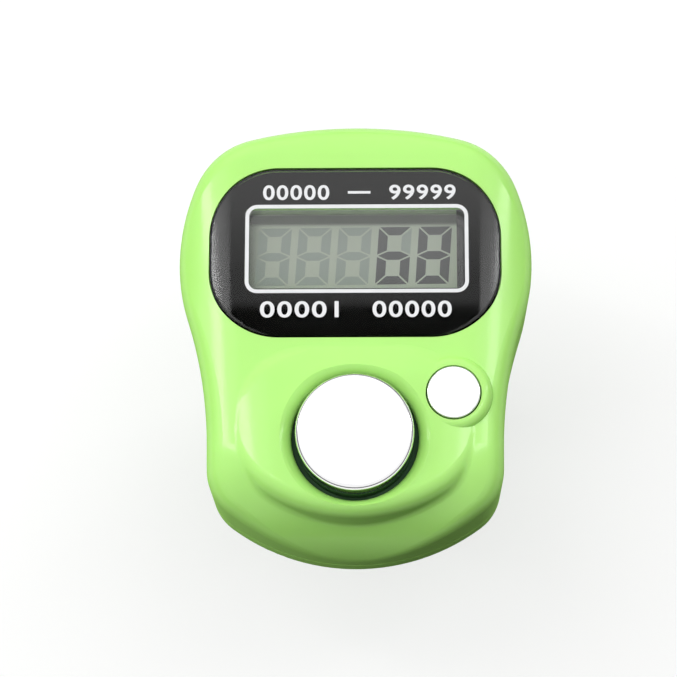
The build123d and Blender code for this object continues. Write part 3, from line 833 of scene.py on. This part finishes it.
# return domes: turned soft skins under the buttons
domeLook = {
    "colors": ((0.62, 0.64, 0.65), (0.72, 0.74, 0.75)),
    "coarse": 800,
    "fine": 5000,
    "rough": (0.4, 0.55),
    "relief": 0.003,
    "sockets": {"Subsurface Weight": 0.4, "Subsurface Radius": (1, 1, 1), "Subsurface Scale": 0.0006},
}
domeShape = {
    "foot": 0.5,
    "rim": 0.4,
    "skirt": 0.5,
    "top": 0.6,
    "bossStart": 1.0,
    "steps": 64,
    "cornerCut": 0.2,
    "rounds": 2,
    "crease": 60,
    "domes": {
        "count_dome": {"joint": "count_press", "plate": 2.4, "boss": 1.7, "bossLow": 1.23, "travel": 0.8},
        "reset_dome": {"joint": "reset_press", "plate": 1.3, "boss": 0.65, "bossLow": 1.03, "travel": 0.6},
    },
}


# cuts the corners of an open line, so that it comes out rounded
def softenLine(points):
    cut = domeShape["cornerCut"]
    for _ in range(domeShape["rounds"]):
        softer = [points[0]]
        for a, b in zip(points, points[1:]):
            softer += [a.lerp(b, cut), a.lerp(b, 1 - cut)]
        points = softer + [points[-1]]
    return points


# the outline goes from the top's middle out to the foot and back inside to the plunger's middle
def makeDome(name, values, material):
    low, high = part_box(name)
    centre = (low + high) / 2
    foot = (high.x - low.x) / 2 / mm
    height = (high.z - low.z) / mm
    plate = values["plate"]
    line = [Vector(p) for p in (
        (0, height),
        (plate, height),
        (plate, height - domeShape["top"]),
        (foot - domeShape["rim"], domeShape["foot"]),
        (foot, domeShape["foot"]),
        (foot, 0),
        (foot - domeShape["rim"] - domeShape["skirt"], 0),
        (plate - domeShape["skirt"], height - domeShape["bossStart"]),
        (values["boss"], height - domeShape["bossStart"]),
        (values["boss"], values["bossLow"]),
        (0, values["bossLow"]),
    )]
    line = softenLine(line)
    steps = domeShape["steps"]
    vertices = [(centre.x, centre.y, low.z + end.y * mm) for end in (line[0], line[-1])]
    faces = []
    for radius, rise in line[1:-1]:
        for step in range(steps):
            angle = 2 * math.pi * step / steps
            vertices.append((
                centre.x + radius * mm * math.cos(angle),
                centre.y + radius * mm * math.sin(angle),
                low.z + rise * mm,
            ))
    rows = len(line) - 2
    for step in range(steps):
        after = (step + 1) % steps
        faces.append((0, 2 + step, 2 + after))
        for row in range(rows - 1):
            a, b = 2 + row * steps, 2 + (row + 1) * steps
            faces.append((a + step, b + step, b + after, a + after))
        last = 2 + (rows - 1) * steps
        faces.append((1, last + after, last + step))
    dome = newPiece(name + "_skin", vertices, faces, material, slot="dome_silicone")
    smoothShade(dome, domeShape["crease"])
    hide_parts(name)
    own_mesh(dome)


domeSilicone = makeFinish("domeSilicone", domeLook)
for domeName, domeValues in domeShape["domes"].items():
    makeDome(domeName, domeValues, domeSilicone)
print("return domes built")

# pale floor under the band's head: white to the eye, with little light thrown back up
floorShape = {
    "half": 1.2,
    "gap": 0.02,  # under the part, in millimetres
    "white": (0.98, 0.98, 0.98),
    "bounce": (0.14, 0.14, 0.14),
    "rough": 0.8,
    "glow": (0.5, 1.0),  # share of plain white under the part and far from it
    "glowSpan": (0.06, 0.5),  # how far from the part the glow starts to grow and is full, in metres
}


# 1 for what is seen directly, in a gloss or through glass
def addSeen(tree):
    rays = tree.nodes.new("ShaderNodeLightPath")
    seen = rays.outputs["Is Camera Ray"]
    for kind in ("Is Glossy Ray", "Is Transmission Ray"):
        seen = addMath(tree, "MAXIMUM", seen, rays.outputs[kind])
    return seen


def makeFloor():
    half, z = floorShape["half"], cadLow.z - floorShape["gap"] * mm
    corners = [(-half, -half, z), (half, -half, z), (half, half, z), (-half, half, z)]
    mesh = bpy.data.meshes.new("floor")
    mesh.from_pydata(corners, [], [(0, 1, 2, 3)])
    material, tree, shader = startMaterial("floorPaper")
    seen = addSeen(tree)
    paper = addTint(tree, seen, floorShape["bounce"], floorShape["white"])
    tree.links.new(paper, shader.inputs["Base Color"])
    shader.inputs["Roughness"].default_value = floorShape["rough"]
    coords = tree.nodes.new("ShaderNodeTexCoord")
    reach = tree.nodes.new("ShaderNodeVectorMath")
    reach.operation = "LENGTH"
    tree.links.new(coords.outputs["Object"], reach.inputs["Vector"])
    share = addSpan(tree, reach.outputs["Value"], floorShape["glowSpan"], floorShape["glow"])
    glow = tree.nodes.new("ShaderNodeEmission")
    glowing = addMath(tree, "MULTIPLY", seen, share)
    surface = mixShaders(tree, glowing, shader.outputs["BSDF"], glow.outputs["Emission"])
    tree.links.new(surface, tree.nodes["Material Output"].inputs["Surface"])
    mesh.materials.append(material)
    floor = bpy.data.objects.new("floor", mesh)
    bpy.context.scene.collection.objects.link(floor)


makeFloor()

# light tent that is brightest above the lens's end; a soft box, a strip and a low fill to either side
lampSet = {
    "aim": (0, 0, 0.018),
    "lamps": {
        "leftBox": {"place": (-0.19, 0.08, 0.30), "size": (0.10, 0.36), "watts": 0.085},
        "leftStrip": {"place": (-0.185, 0.078, 0.292), "size": (0.022, 0.36), "watts": 0.165},
        "rightBox": {"place": (0.19, 0.08, 0.30), "size": (0.10, 0.36), "watts": 0.08},
        "rightStrip": {"place": (0.185, 0.078, 0.292), "size": (0.022, 0.36), "watts": 0.125},
        "leftLow": {"place": (-0.29, -0.06, 0.13), "size": (0.16, 0.16), "watts": 0.225, "gloss": False},
        "rightLow": {"place": (0.28, 0.17, 0.11), "size": (0.16, 0.16), "watts": 0.2, "gloss": False},
    },
    "tentTop": (-0.2, 0.42, 0.885),  # direction of its brightest part
    "tentSpan": (0.35, 0.9),  # cosines between which it fades in
    "tentLevels": (0.05, 1.33),
    "white": (1, 1, 1, 1),
    "glossSpan": (0.12, 0.6),  # heights between which gloss sees the tent's plain side
    "glossLevels": (0.05, 1.0),
}


def makeLamps():
    for name, values in lampSet["lamps"].items():
        lamp = bpy.data.lights.new(name, "AREA")
        lamp.shape = "RECTANGLE"
        lamp.size, lamp.size_y = values["size"]
        lamp.energy = values["watts"]
        holder = bpy.data.objects.new(name, lamp)
        holder.location = values["place"]
        toward = Vector(lampSet["aim"]) - Vector(values["place"])
        holder.rotation_euler = toward.to_track_quat("-Z", "Y").to_euler()
        holder.visible_glossy = values.get("gloss", True)  # the low ones only fill
        bpy.context.scene.collection.objects.link(holder)


# plain white to the camera, the tent to all else
def makeWorld():
    world = bpy.data.worlds.new("studio")
    world.use_nodes = True
    tree = world.node_tree
    tent = tree.nodes["Background"]
    tent.inputs["Color"].default_value = lampSet["white"]
    coords = tree.nodes.new("ShaderNodeTexCoord")
    facing = tree.nodes.new("ShaderNodeVectorMath")
    facing.operation = "DOT_PRODUCT"
    facing.inputs[1].default_value = lampSet["tentTop"]
    tree.links.new(coords.outputs["Generated"], facing.inputs[0])
    fade = addSpan(tree, facing.outputs["Value"], lampSet["tentSpan"], lampSet["tentLevels"])
    rays = tree.nodes.new("ShaderNodeLightPath")
    height = addAxis(tree, coords.outputs["Generated"], "Z")
    plain = addSpan(tree, height, lampSet["glossSpan"], lampSet["glossLevels"])
    gloss = addMath(tree, "MULTIPLY", plain, rays.outputs["Is Glossy Ray"])
    tree.links.new(addMath(tree, "MAXIMUM", fade, gloss), tent.inputs["Strength"])
    white = tree.nodes.new("ShaderNodeBackground")
    white.inputs["Color"].default_value = lampSet["white"]
    white.inputs["Strength"].default_value = 1.0
    surface = mixShaders(
        tree, rays.outputs["Is Camera Ray"], tent.outputs["Background"], white.outputs["Background"]
    )
    tree.links.new(surface, tree.nodes["World Output"].inputs["Surface"])
    bpy.context.scene.world = world


makeLamps()
makeWorld()
bpy.context.scene.view_settings.view_transform = "Standard"

# camera: long lens, a little below the face's normal
cameraSet = {
    "target": (0.0, 0.8, 15.25),
    "distance": 220.0,
    "tilt": 15.0,  # from the face's normal towards the bottom end
    "yaw": -0.8,  # above 0 is towards the left side
    "lens": 136.1,
    "sensor": 36.0,
    "shift": (-0.0264, -0.0011),
    "clip": (0.01, 10.0),
}


def makeCamera():
    tilt, yaw = math.radians(cameraSet["tilt"]), math.radians(cameraSet["yaw"])
    away = Vector((-math.sin(yaw), -math.sin(tilt) * math.cos(yaw), math.cos(tilt) * math.cos(yaw)))
    target = Vector(cameraSet["target"]) * mm
    camera = bpy.data.objects.new("camera", bpy.data.cameras.new("camera"))
    camera.location = target + away * cameraSet["distance"] * mm
    right = Vector((0, 1, 0)).cross(away).normalized()
    turn = Matrix((right, away.cross(right), away)).transposed()
    camera.rotation_euler = turn.to_euler()
    camera.data.lens = cameraSet["lens"]
    camera.data.sensor_width = cameraSet["sensor"]
    camera.data.shift_x, camera.data.shift_y = cameraSet["shift"]
    camera.data.clip_start, camera.data.clip_end = cameraSet["clip"]
    bpy.context.scene.collection.objects.link(camera)
    bpy.context.scene.camera = camera


makeCamera()
print("stage, lamps and camera set")
